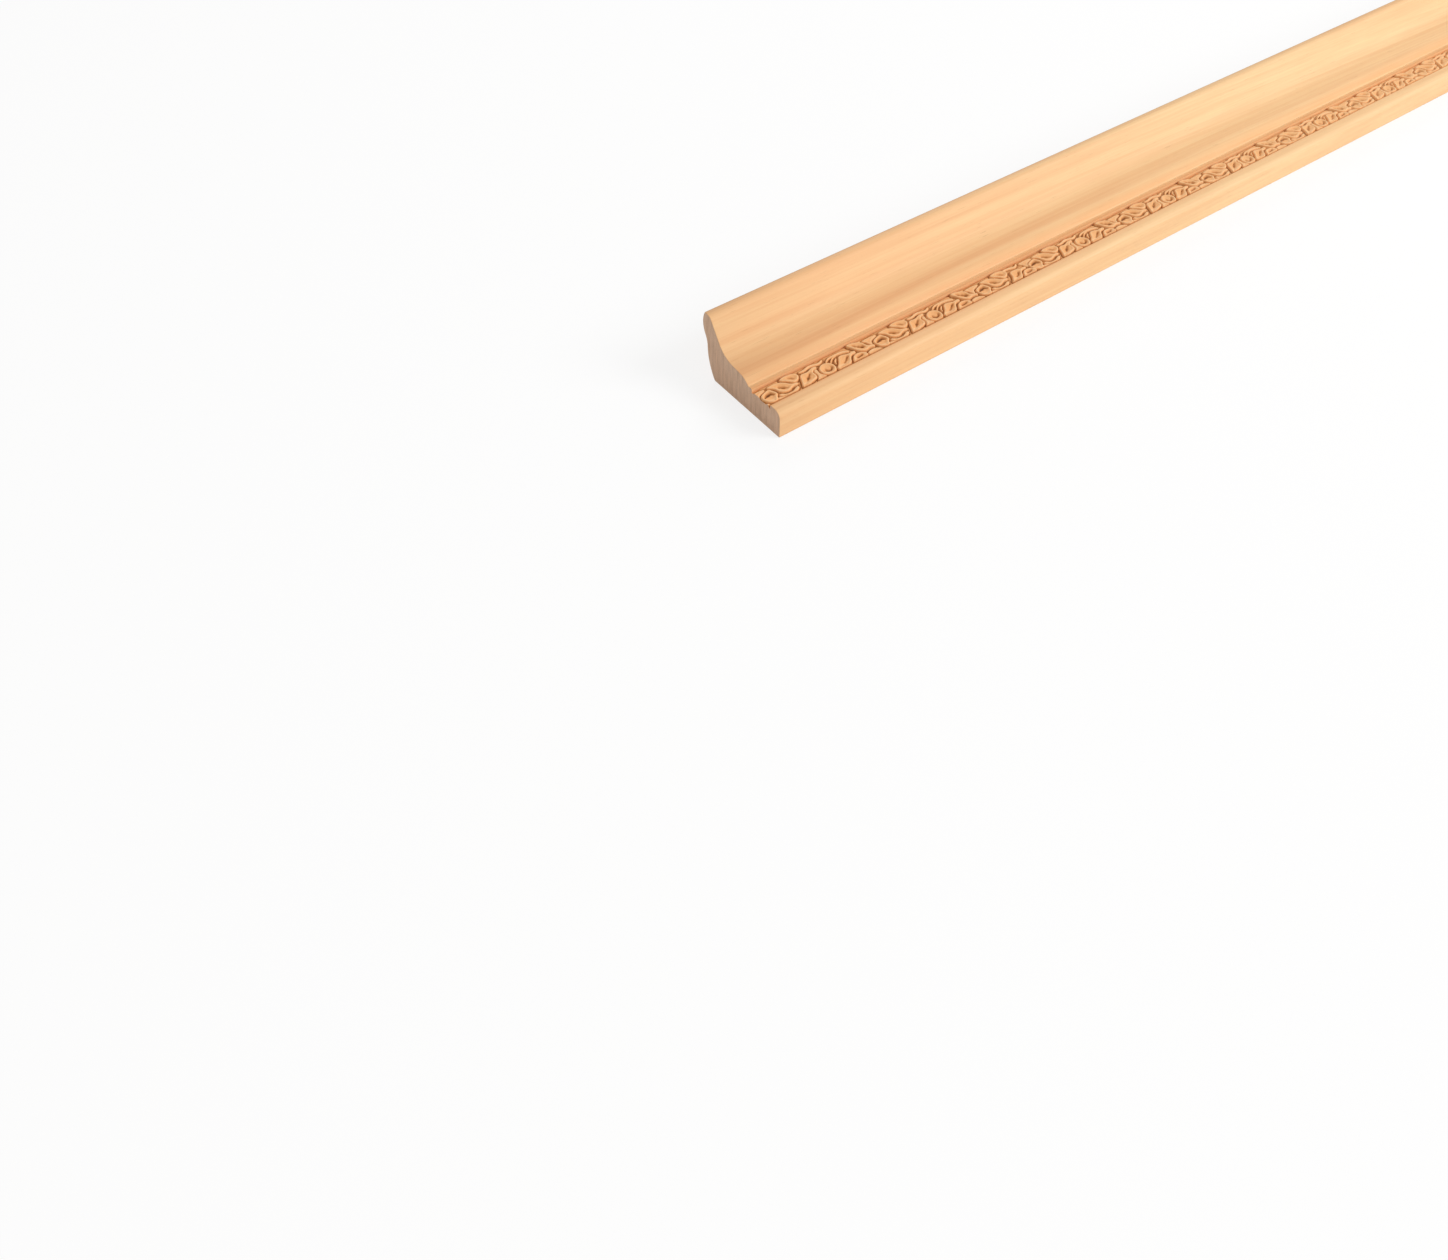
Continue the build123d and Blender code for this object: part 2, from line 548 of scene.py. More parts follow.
fan_leaf = Shape(
    [
        (11.3, 1.05), (11.45, 1.65), (11.9, 2.05), (12.6, 2.7), (13.1, 3.35), (13.55, 4.0), (13.95, 4.55),
        (14.55, 4.8), (15.4, 4.7), (16.25, 4.4), (17.0, 4.2), (17.7, 4.3), (18.4, 4.35), (18.9, 4.0),
        (18.75, 3.6), (18.1, 3.55), (17.45, 3.45), (16.85, 3.05), (16.35, 2.45), (15.95, 1.8), (15.4, 1.2),
        (14.55, 0.75), (13.55, 0.6), (12.45, 0.55), (11.55, 0.65),
    ],
    veins=[
        [
            (14.1, 2.2, 0.3, 0.55), (14.85, 2.65, 0.26, 0.55), (15.45, 3.1, 0.26, 0.65),
            (16.05, 3.55, 0.3, 0.75),
        ]
    ],
)
bud = Shape(
    [
        (16.15, 0.75), (16.45, 1.3), (16.9, 2.05), (17.5, 2.65), (18.35, 2.95), (19.3, 2.9), (20.05, 2.65),
        (20.65, 2.15), (20.95, 1.6), (20.8, 1.05), (20.3, 0.7), (19.25, 0.5), (17.9, 0.5), (16.85, 0.55),
    ],
    veins=[[(18.1, 1.8, 0.3, 0.8), (18.9, 1.9, 0.3, 0.8), (19.65, 1.95, 0.3, 0.8)]],
)
tall_leaf = Shape(
    [
        (18.35, 6.7), (18.7, 6.95), (19.55, 6.9), (20.6, 6.6), (21.55, 6.2), (22.25, 5.6), (22.55, 4.85),
        (22.65, 4.2), (23.0, 3.7), (23.65, 3.35), (24.3, 3.1), (24.45, 2.7), (24.1, 2.55), (23.4, 2.75),
        (22.75, 2.85), (22.05, 2.7), (21.35, 2.6), (20.7, 2.9), (20.05, 3.4), (19.55, 4.05), (19.15, 4.85),
        (18.85, 5.65), (18.5, 6.25),
    ],
    veins=[
        [
            (19.65, 6.0, 0.2, 0.4), (20.0, 5.5, 0.3, 0.9), (20.4, 5.2, 0.22, 0.7), (20.75, 4.95, 0.32, 1.0),
            (21.05, 4.65, 0.26, 0.8), (21.5, 4.2, 0.38, 1.2), (21.9, 3.9, 0.25, 0.5),
        ]
    ],
    top=1.1,
)
low_bar = Shape(
    [
        (21.4, 0.8), (21.35, 1.45), (21.8, 1.85), (22.65, 2.05), (23.55, 2.0), (24.3, 1.75), (24.9, 1.4),
        (25.45, 0.9), (25.2, 0.6), (23.95, 0.55), (22.4, 0.55),
    ],
    top=0.85,
)
torn_patch = Shape(
    [
        (23.1, 6.25), (24.25, 6.35), (25.45, 6.4), (26.65, 6.35), (27.55, 6.1), (27.2, 5.65), (26.3, 5.35),
        (25.45, 5.05), (25.0, 4.6), (24.75, 4.0), (24.45, 3.65), (24.1, 4.0), (23.85, 4.65), (23.6, 5.35),
        (23.2, 5.75),
    ],
    top=0.68,
    dish=0.05,
)
star_berry = Shape(
    [
        (25.4, 4.3), (26.0, 4.65), (26.9, 4.95), (27.85, 5.2), (28.45, 5.1), (28.7, 4.55), (29.1, 3.85),
        (29.3, 3.15), (29.2, 2.65), (28.7, 2.2), (28.4, 1.65), (28.0, 1.05), (27.45, 0.7), (26.75, 0.9),
        (26.0, 1.45), (25.45, 2.1), (25.15, 2.85), (25.1, 3.65),
    ],
    dish=0.28,
    veins=[
        [
            (25.75, 3.25, 0.22, 0.7), (26.3, 3.6, 0.26, 1.0), (26.9, 3.8, 0.42, 1.3), (27.7, 4.0, 0.36, 1.3),
            (28.1, 3.6, 0.28, 1.0), (28.4, 3.15, 0.22, 0.7),
        ]
    ],
)
drooping_leaf = Shape(
    [
        (28.35, 6.0), (29.15, 6.15), (30.25, 6.15), (31.3, 6.0), (32.1, 5.65), (32.85, 5.1), (33.4, 4.55),
        (33.9, 3.95), (34.5, 3.5), (35.3, 3.3), (35.75, 3.0), (35.35, 2.7), (34.45, 2.8), (33.75, 2.65),
        (33.1, 2.35), (32.3, 2.15), (31.4, 2.25), (30.65, 2.65), (30.15, 3.25), (29.9, 4.0), (29.55, 4.75),
        (29.0, 5.35), (28.55, 5.7),
    ],
    veins=[
        [
            (31.0, 4.5, 0.32, 1.0), (31.4, 4.3, 0.28, 0.9), (31.9, 3.8, 0.36, 1.0), (32.35, 3.45, 0.25, 0.5),
            (32.7, 3.1, 0.22, 0.3),
        ]
    ],
)
crescent = Shape(
    [
        (28.35, 1.3), (28.7, 1.45), (29.25, 1.35), (29.7, 1.6), (29.4, 2.0), (29.55, 2.3), (30.0, 2.2),
        (30.5, 1.75), (31.3, 1.4), (32.2, 1.3), (33.05, 1.35), (33.75, 1.65), (34.45, 2.0), (35.05, 2.05),
        (35.1, 1.65), (34.55, 1.2), (33.75, 0.75), (32.8, 0.45), (31.6, 0.4), (30.4, 0.45), (29.25, 0.7),
        (28.45, 0.9),
    ],
    top=0.85,
    dish=0.08,
    veins=[[(29.25, 1.6, 0.18, 0.5), (29.9, 1.3, 0.18, 0.45), (30.95, 1.15, 0.18, 0.2)]],
)
last_leaf = Shape(
    [
        (32.55, 6.4), (33.15, 6.7), (34.15, 6.85), (35.35, 6.75), (36.4, 6.5), (37.15, 6.0), (37.45, 5.4),
        (37.3, 4.75), (36.8, 4.2), (36.1, 3.8), (35.35, 3.75), (34.75, 4.1), (34.2, 4.7), (33.6, 5.3),
        (33.0, 5.8),
    ],
    top=1.05,
    veins=[[(34.75, 5.85, 0.25, 0.45), (35.35, 5.55, 0.3, 0.6), (35.75, 5.05, 0.25, 0.45)]],
)
ribbon = Stroke(
    [
        (2.4, 6.0, 0.25), (3.45, 5.95, 0.38), (4.35, 6.05, 0.42), (5.25, 6.3, 0.44), (6.15, 6.4, 0.44),
        (7.05, 6.2, 0.44), (8.0, 5.9, 0.44), (8.9, 5.9, 0.42), (9.8, 6.25, 0.38),
    ],
    top=0.86,
)
long_frond = Stroke(
    [
        (10.35, 5.0, 0.28), (11.1, 5.55, 0.3), (12.05, 5.87, 0.33), (13.25, 5.95, 0.37), (14.45, 5.96, 0.42),
        (15.4, 5.85, 0.44), (16.25, 5.65, 0.46), (17.15, 5.25, 0.44), (17.5, 5.0, 0.38),
    ],
    top=0.95,
)
middle_frond = Stroke(
    [(11.25, 4.2, 0.22), (11.85, 4.75, 0.26), (12.45, 5.2, 0.26), (13.1, 5.5, 0.24), (13.9, 5.6, 0.2)],
    top=0.85,
)
inner_frond = Stroke(
    [(12.1, 3.2, 0.26), (12.32, 3.75, 0.32), (12.7, 4.22, 0.32), (13.2, 4.6, 0.24)],
    top=0.9,
)
cut_ribbon = Stroke(
    [
        (1.55, 6.3, 0.4), (2.65, 6.3, 0.42), (3.85, 6.05, 0.44), (5.05, 5.75, 0.42), (5.8, 5.95, 0.38),
        (6.3, 6.35, 0.3),
    ],
    top=0.86,
)
short_fan_leaf = Shape(
    [
        (0.1, 0.4), (0.4, 1.35), (1.0, 2.1), (1.6, 3.0), (1.9, 3.9), (2.35, 4.5), (3.25, 4.65), (4.3, 4.6),
        (5.2, 4.25), (5.95, 4.1), (6.85, 4.15), (7.45, 4.0), (7.55, 3.75), (7.15, 3.55), (6.1, 3.5),
        (5.5, 3.25), (4.9, 2.65), (4.4, 1.9), (3.85, 1.2), (3.1, 0.75), (1.75, 0.45), (0.85, 0.4),
    ],
    veins=[[(2.65, 2.15, 0.28, 0.5), (3.55, 2.55, 0.28, 0.6), (4.25, 3.3, 0.28, 0.7)]],
)

# A stroke is widened by this share of what a shape is, and its round back has this exponent
STROKE_GROW = 0.3
STROKE_ROUND = 2.2

# The deepest cuts end this far above the ground, in millimetres, so that they still count as their shape's
LEAST_HEIGHT = 0.02

# The front wall's groove: the share of it that stays flat, and the width in millimetres of its bank
FRONT_FLAT = 0.35
FRONT_BANK = 0.4

# Brown tones of the band, painted shade and rim highlights included. Distances are in millimetres, and a
# tone of 1 is fully brown
FOOT_TONE = 1.1
FOOT_REACH = 0.11
FRONT_LINE_TONE = 1.05
FRONT_LINE = 0.67
FRONT_LINE_END = 1.03
FRONT_RIM = 1.65
FRONT_RIM_REACH = 0.3
RIM_INSET = 0.42
RIM_REACH = 0.18
VEIN_TONE = 1.6
GROOVE_TONE = 1.2
GROOVE_REACH = 0.21
OPEN_TONE = 0.32
WALL_TONE = 0.2
WALL_REACH = 0.45
WALL_EASING = 0.6

# A point of the mesh snaps onto an outline within this share of a cell. Where that leaves a cell smaller
# than the least share of its size, its points go back to a part of their shift, a few times over
SNAP_SHARE = 0.42
LEAST_CELL = 0.25
KEPT_SHIFT = 0.3
UNFOLD_ROUNDS = 4

# What each repeat holds, each shape with how far it is shifted along
end_of_repeat = [star_berry, drooping_leaf, crescent, last_leaf]
full_repeat = [
    (shape, 0.0)
    for shape in [
        spear_leaf, pillar, berry, fan_leaf, bud, tall_leaf, low_bar, torn_patch, ribbon, long_frond,
        middle_frond, inner_frond, *end_of_repeat,
    ]
]
short_repeat = [
    (cut_ribbon, 0.0),
    (short_fan_leaf, 0.0),
    (bud, -11.85),
    (torn_patch, -15.9),
    *[(shape, -16.4) for shape in end_of_repeat],
]


def hump(value, middle, reach):
    """1 at the middle, falling away smoothly over about the reach on both sides."""
    return np.exp(-(((value - middle) / reach) ** 2))


def ease(value, low, high):
    """0 up to low and 1 from high on, smooth in between."""
    t = np.clip((value - low) / (high - low), 0, 1)
    return t**2 * (3 - 2 * t)


def rise_of(shape, relief, along, across):
    """For each point, how far inside the shape it is, the way inwards, the shape's height and its veins."""
    gap, value = nearest_on(shape.line, along, across)
    inward = np.stack([value[..., 0] - along, value[..., 1] - across], -1)
    inward = inward / np.maximum(gap, 1e-9)[..., None]
    if isinstance(shape, Stroke):
        half_width = value[..., 2] + STROKE_GROW * relief.grow / MM
        depth = half_width - gap
        t = np.clip(depth / half_width, 0, 1)
        height = shape.top * np.sqrt(1 - (1 - t) ** STROKE_ROUND)
    else:
        within = is_inside(shape.line, along, across)
        inward = np.where(within[..., None], -inward, inward)
        depth = np.where(within, gap, -gap) + relief.grow / MM
        t = np.clip(depth * MM / relief.shoulder, 0, 1)
        past_rim = np.maximum(depth * MM - relief.shoulder, 0)
        dished = shape.dish * (1 - hump(past_rim, 0, relief.dish_reach))
        height = shape.top * np.sqrt(1 - (1 - t) ** 2) - dished
    cut = np.zeros(along.shape)
    for vein in shape.veins:
        gap, value = nearest_on(vein, along, across)
        cut = np.maximum(cut, value[..., 3] * hump(gap, 0, value[..., 2]))
    cut = np.where(depth > 0, cut, 0)
    carved = np.maximum(height - cut * relief.vein_depth / MM, LEAST_HEIGHT)
    return depth, inward, np.where(depth > 0, carved, 0), cut


def browning_and_shade(nearest, across, veins, band_width):
    """How brown and shaded each place is: below nought it is a pale rim with a painted highlight, and above
    one it is darkest, burnt and in painted shade.
    """
    # Each shape's foot is darkened with the roller's brown and painted shade where it drops into the groove
    foot = FOOT_TONE * hump(np.maximum(nearest, 0), 0, FOOT_REACH)
    # Along the front wall a dark line, the painted shadow that the wall casts together with the roller's
    # brown, then a pale one, a painted highlight where the shapes catch the light
    front_shadow_and_brown = FRONT_LINE_TONE * (1 - ease(across, FRONT_LINE, FRONT_LINE_END))
    foot = np.maximum(foot, front_shadow_and_brown)
    # Cut veins and pits are darkened with the roller's brown and painted shade
    on_shape = np.maximum(foot, np.clip(VEIN_TONE * veins, 0, 2))
    # The rims stay pale, partly the wood left untouched by the roller and partly a painted highlight
    rim = np.maximum(hump(nearest, RIM_INSET, RIM_REACH), hump(across, FRONT_RIM, FRONT_RIM_REACH))
    rim = rim * (1 - np.clip(2 * veins, 0, 1)) * (1 - np.clip(foot, 0, 1))
    # The grooves round the shapes are darkened with brown and painted shade, but less so where a leaf's tip
    # runs into the outer wall. The open ground by the outer wall gets more painted shade
    by_wall = hump(across, band_width, WALL_REACH)
    groove = GROOVE_TONE * hump(nearest, 0, GROOVE_REACH) * (1 - WALL_EASING * by_wall)
    open_tone = OPEN_TONE + WALL_TONE * by_wall + groove
    return np.where(nearest > 0, on_shape - rim, open_tone)


def press(repeat, relief, along, across, band_width):
    """Height of the pressed band, how brown it is with painted shade and highlights, the shift that puts
    each point on the nearest outline, and how far the point is from it."""
    height = np.zeros(along.shape)
    veins = np.zeros(along.shape)
    nearest = np.full(along.shape, -np.inf)
    closest = np.full(along.shape, np.inf)
    shift = np.zeros(along.shape + (2,))
    for shape, offset in repeat:
        depth, inward, rise, cut = rise_of(shape, relief, along - offset, across)
        veins = np.where(rise > height, cut, veins)
        height = np.maximum(height, rise)
        nearest = np.maximum(nearest, depth)
        closer = np.abs(depth) < np.abs(closest)
        closest = np.where(closer, depth, closest)
        shift = np.where(closer[..., None], -depth[..., None] * inward, shift)
    floor, open_height = relief.groove_floor / MM, relief.ground_rise / MM
    in_open = np.clip(-nearest * MM / relief.ground_reach, 0, 1) ** 1.5
    from_wall = np.clip((band_width - across) * MM / relief.wall_groove, 0, 1) ** 2
    ground = (floor + (open_height - floor) * in_open) * from_wall * np.minimum(across / FRONT_BANK, 1)
    from_front = ease(across * MM / relief.front_groove, FRONT_FLAT, 1)
    height = np.maximum(height * from_front, ground)
    return height, browning_and_shade(nearest, across, veins, band_width), shift, closest


def folded_corners(along, across, least):
    """Whether each point belongs to a cell that the shifts have squeezed nearly flat."""
    place = np.stack([along, across], -1)
    a, b, c, d = place[:-1, :-1], place[1:, :-1], place[1:, 1:], place[:-1, 1:]
    flat = np.zeros(along.shape, bool)
    for first, second, third in ((a, b, c), (a, c, d), (a, b, d), (b, c, d)):
        one, two = second - first, third - first
        low = one[..., 0] * two[..., 1] - one[..., 1] * two[..., 0] < least
        flat[:-1, :-1] |= low
        flat[1:, :-1] |= low
        flat[1:, 1:] |= low
        flat[:-1, 1:] |= low
    return flat


def lay_out(repeat, relief, columns, period, band_width):
    """One repeat as arrays over its columns and rows: places along and across, height, and brown tone with
    painted shade.
    """
    pitch = period / columns
    along, across = np.meshgrid(
        np.arange(columns + 1) * pitch,
        np.linspace(0, band_width, relief.rows + 1),
        indexing="ij",
    )
    # A leaf of the repeat before and one of the repeat after reach over the joins
    whole = repeat + [(last_leaf, -relief.period / MM), (spear_leaf, period)]
    _, _, shift, closest = press(whole, relief, along, across, band_width)
    row_pitch = band_width / relief.rows
    least = LEAST_CELL * pitch * row_pitch
    snaps = (np.abs(closest) < SNAP_SHARE * min(pitch, row_pitch))[..., None]
    shift = np.where(snaps, shift, 0)
    # Points on the repeat's two ends and on the band's two walls stay where they are
    shift[[0, -1]] = 0
    shift[:, [0, -1]] = 0
    for _ in range(UNFOLD_ROUNDS):
        flat = folded_corners(along + shift[..., 0], across + shift[..., 1], least)
        shift = np.where(flat[..., None], KEPT_SHIFT * shift, shift)
    along += shift[..., 0]
    across += shift[..., 1]
    height, browned_and_shaded, _, _ = press(whole, relief, along, across, band_width)
    return along, across, height, browned_and_shaded


def roll_out(relief, band_width):
    """One whole turn of the roller, full repeats and then the short one that closes it, and its length."""
    period = relief.period / MM
    short_columns = round(relief.repeat_columns * relief.short_period / relief.period)
    short_period = period * short_columns / relief.repeat_columns
    full = lay_out(full_repeat, relief, relief.repeat_columns, period, band_width)
    short = lay_out(short_repeat, relief, short_columns, short_period, band_width)
    tiles = [full] * relief.full_repeats + [short]
    starts = [index * period for index in range(len(tiles))]
    turn = [np.vstack([tile[0][:-1] + start for tile, start in zip(tiles, starts)])]
    # Both ends of the short repeat are as the full one's, so that the repeats join
    for part in range(1, 4):
        short[part][[0, -1]] = full[part][0]
        turn.append(np.vstack([tile[part][:-1] for tile in tiles]))
    return turn, starts[-1] + short_period


def unevenness(x, y):
    """The pressed surface's unevenness, coarse and fine, at a place in millimetres."""
    coarse = noise.noise((2.1 * x, 3.0 * y, 0.5))
    fine = noise.noise((5.0 * x, 6.0 * y, 7.5))
    return coarse + 0.6 * fine


def lift_grid(mesh, first, columns, cuts, turn, turn_length):
    """Gives each point of a flat grid its place on the pressed band, and its brown tone with painted shade.
    The grid's first column is a column of the roller's turn, and the cuts are the columns at the stick's two
    ends."""
    size, relief, _, _ = settings()
    along, across, height, browned_and_shaded = turn
    columns_in_turn = len(along)
    start = cuts[0] * turn_length / columns_in_turn
    band_start = places_across(size)[0]
    ground = size.nose_height - size.band_depth
    brown_and_shade_layer = mesh.verts.layers.float["browned_and_shaded"]
    for index, vert in enumerate(mesh.verts):
        row, column = divmod(index, columns + 1)
        turns, place = divmod(first + column, columns_in_turn)
        x = along[place, row] + turns * turn_length - start
        # The two cut columns stand exactly on the stick's ends
        if first + column == cuts[0]:
            x = 0
        if first + column == cuts[1]:
            x = (cad_high.x - cad_low.x) / MM
        y = across[place, row]
        vert.co = (
            min(cad_low.x + max(x, 0) * MM, cad_high.x),
            band_start + y * MM,
            ground + height[place, row] * MM + relief.fuzz * unevenness(x, y),
        )
        vert[brown_and_shade_layer] = browned_and_shaded[place, row]


def close_below(mesh, rim, columns, rows, bed):
    """Walls from the lifted grid's long sides down to the bed, the underside between them and the ends."""
    last_row = (columns + 1) * rows
    sides = []
    for edge in rim:
        low, high = sorted(vert.index for vert in edge.verts)
        if high <= columns or low >= last_row:
            sides.append(edge)
    grown = bmesh.ops.extrude_edge_only(mesh, edges=sides)
    lower = {item for item in grown["geom"] if isinstance(item, bmesh.types.BMVert)}
    for vert in lower:
        vert.co.z = bed
    lower_edges = [edge for edge in mesh.edges if edge.is_boundary and lower.issuperset(edge.verts)]
    bmesh.ops.bridge_loops(mesh, edges=lower_edges)
    bmesh.ops.holes_fill(mesh, edges=[edge for edge in mesh.edges if edge.is_boundary], sides=0)
    bmesh.ops.recalc_face_normals(mesh, faces=mesh.faces[:])


def make_vine_part(number, first, last, cuts, turn, turn_length, materials):
    """One length of the pressed band, closed below, from one column of the roller's turn to another."""
    size, relief, _, _ = settings()
    columns = last - first
    mesh = bmesh.new()
    mesh.verts.layers.float.new("browned_and_shaded")
    bmesh.ops.create_grid(mesh, x_segments=columns, y_segments=relief.rows, size=1.0)
    lift_grid(mesh, first, columns, cuts, turn, turn_length)
    top_faces = mesh.faces[:]
    rim = [edge for edge in mesh.edges if edge.is_boundary]
    close_below(mesh, rim, columns, relief.rows, size.nose_height - size.bed_depth)
    for face in top_faces:
        face.smooth = True
    for edge in rim:
        edge.smooth = False
    mark_ends(mesh)
    bmesh.ops.triangulate(mesh, faces=top_faces, quad_method="SHORT_EDGE")
    put_in_scene(mesh, f"pressed_vine_{number}", materials)


def make_vine(materials):
    """The pressed vine along the whole stick, in lengths that meet where the roller starts a turn."""
    size, relief, _, _ = settings()
    turn, turn_length = roll_out(relief, size.band_width / MM)
    columns_in_turn = len(turn[0])
    pitch = turn_length / columns_in_turn
    start = relief.first_repeats * relief.repeat_columns + round(
        relief.first_part / relief.period * relief.repeat_columns
    )
    end = start + ceil((cad_high.x - cad_low.x) / MM / pitch)
    breaks = [start]
    while breaks[-1] < end:
        breaks.append(min((breaks[-1] // columns_in_turn + 1) * columns_in_turn, end))
    for number, (first, last) in enumerate(zip(breaks, breaks[1:]), 1):
        make_vine_part(number, first, last, (start, end), turn, turn_length, materials)


def linear(screen_colour):
    """A screen colour as the shaders want it."""
    values = []
    for part in screen_colour:
        values.append(part / 12.92 if part <= 0.04045 else ((part + 0.055) / 1.055) ** 2.4)
    return (*values, 1.0)


class Bench:
    """Adds and joins the nodes of one material, or of the world."""

    def __init__(self, owner):
        owner.use_nodes = True
        self.owner = owner
        self.tree = owner.node_tree
        self.tree.nodes.clear()

    def add(self, kind, inputs=None, **choices):
        """A node with its choices set and its inputs joined or given a value."""
        node = self.tree.nodes.new(kind)
        for name, value in choices.items():
            setattr(node, name, value)
        for name, value in (inputs or {}).items():
            if isinstance(value, bpy.types.NodeSocket):
                self.tree.links.new(value, node.inputs[name])
            else:
                node.inputs[name].default_value = value
        return node

    def math(self, operation, first, second=0.0, clamp=False):
        """One sum on two numbers."""
        node = self.add("ShaderNodeMath", {0: first, 1: second}, operation=operation, use_clamp=clamp)
        return node.outputs[0]

    def product(self, first, *others):
        """Numbers multiplied."""
        for other in others:
            first = self.math("MULTIPLY", first, other)
        return first

    def level(self, value, gain, base):
        """A number scaled by the gain and raised by the base."""
        return self.math("ADD", self.product(value, gain), base)

    def between(self, value, low, high):
        """0 at low and 1 at high, smooth in between."""
        return self.add(
            "ShaderNodeMapRange",
            {"Value": value, "From Min": low, "From Max": high},
            interpolation_type="SMOOTHSTEP",
        ).outputs[0]

    def tint(self, tone, factor, screen_colour):
        """A tone with a share of a screen colour mixed in."""
        inputs = {0: factor, 6: tone, 7: linear(screen_colour)}
        return self.add("ShaderNodeMix", inputs, data_type="RGBA").outputs[2]

    def split(self, place):
        """The three parts of a place."""
        return self.add("ShaderNodeSeparateXYZ", {0: place}).outputs

    def grain(self, place, scale, detail=2.0, rough=0.5, offset=(0, 0, 0)):
        """Noise stretched along the stick: the scale is in features for each metre."""
        moved = self.add("ShaderNodeMapping", {"Vector": place, "Scale": scale, "Location": offset})
        noise_node = self.add(
            "ShaderNodeTexNoise",
            {"Vector": moved.outputs[0], "Scale": 1.0, "Detail": detail, "Roughness": rough},
        )
        return noise_node.outputs[0]

    def streaks(self, place, along, across, low, high, detail=3.0, rough=0.5, offset=(0, 0, 0)):
        """The part of a stretched noise between two of its levels, from 0 to 1."""
        noise_level = self.grain(place, (along, across, across), detail, rough, offset)
        return self.between(noise_level, low, high)

    def stripe(self, value, place, rise, fall):
        """1 in a stripe beside a place. It fades in and out over two stretches, in millimetres from it."""
        return self.product(
            self.between(value, place + rise[0] * MM, place + rise[1] * MM),
            self.between(value, place + fall[1] * MM, place + fall[0] * MM),
        )

    def put_out(self, kind, shader):
        """The output, joined to the shader."""
        self.add(kind, {0: shader.outputs[0]})

    def finish(self, colour_socket, roughness, bump_height, bump_depth):
        """The wood's shader and its output."""
        bump = self.add(
            "ShaderNodeBump", {"Height": bump_height, "Strength": 1.0, "Distance": bump_depth}
        )
        shader = self.add(
            "ShaderNodeBsdfPrincipled",
            {
                "Base Color": colour_socket,
                "Roughness": roughness,
                "Specular IOR Level": 0.35,
                "Normal": bump.outputs[0],
            },
        )
        self.put_out("ShaderNodeOutputMaterial", shader)
        return self.owner


def growth_rings(bench, place, finish):
    """0 in early wood and 1 in late wood. The tree's heart lies in front of the stick, so the rings
    stand upright."""
    heart = (0.0, -0.095, 0.004)
    wander_reach = 7.0 * MM
    out = bench.add("ShaderNodeVectorMath", {0: place, 1: heart}, operation="SUBTRACT").outputs[0]
    flat = bench.add("ShaderNodeVectorMath", {0: out, 1: (0, 1, 1)}, operation="MULTIPLY").outputs[0]
    radius = bench.add("ShaderNodeVectorMath", {0: flat}, operation="LENGTH").outputs["Value"]
    wander = bench.product(bench.grain(place, (3.0, 40.0, 40.0), detail=3.0), wander_reach)
    count = bench.math("DIVIDE", bench.math("ADD", radius, wander), finish.ring_spacing)
    phase = bench.math("FRACT", count)
    late = bench.between(phase, 0.35, 0.92)
    gone = bench.between(phase, 0.93, 1.0)
    return bench.product(late, bench.math("SUBTRACT", 1.0, gone))


def drifting(bench, place):
    """The place with the grain's own drift taken off, as the grain runs a little askew of the stick."""
    lean_across, lean_up, bend = 0.014, 0.009, 14.0 * MM
    x, y, z = bench.split(place)
    curve = bench.grain(place, (1.7, 0.0, 0.0), detail=1.0, offset=(4, 0, 0))
    drift = bench.math("ADD", bench.product(x, lean_across), bench.product(curve, bend))
    across = bench.math("ADD", y, drift)
    up = bench.math("ADD", z, bench.product(x, lean_up))
    return bench.add("ShaderNodeCombineXYZ", {0: x, 1: across, 2: up}).outputs[0]


def streak_and_cove_shade(bench, place):
    """A darker streak that wanders along the ogee's run and cove from the near end, and fades out. It is
    partly a streak in the wood and partly painted shade in the cove's hollow.
    """
    size = settings()[0]
    past_ovolo, half_width, wander_reach = 8.3 * MM, 3.0 * MM, 12.0 * MM
    fade_start, fade_end = cad_low.x + 0.03, cad_low.x + 0.22
    x, y, _ = bench.split(place)
    middle = places_across(size)[2] + size.ovolo_width + past_ovolo
    wander = bench.product(bench.grain(place, (4.0, 60.0, 0.0)), wander_reach)
    away = bench.math("SUBTRACT", bench.math("ADD", y, wander), middle)
    near = bench.between(bench.math("ABSOLUTE", away), half_width, 0.1 * half_width)
    patchy = bench.between(bench.grain(place, (6.0, 480.0, 0.0), detail=3.0, offset=(1, 4, 0)), 0.22, 0.6)
    return bench.product(near, patchy, bench.between(x, fade_end, fade_start))


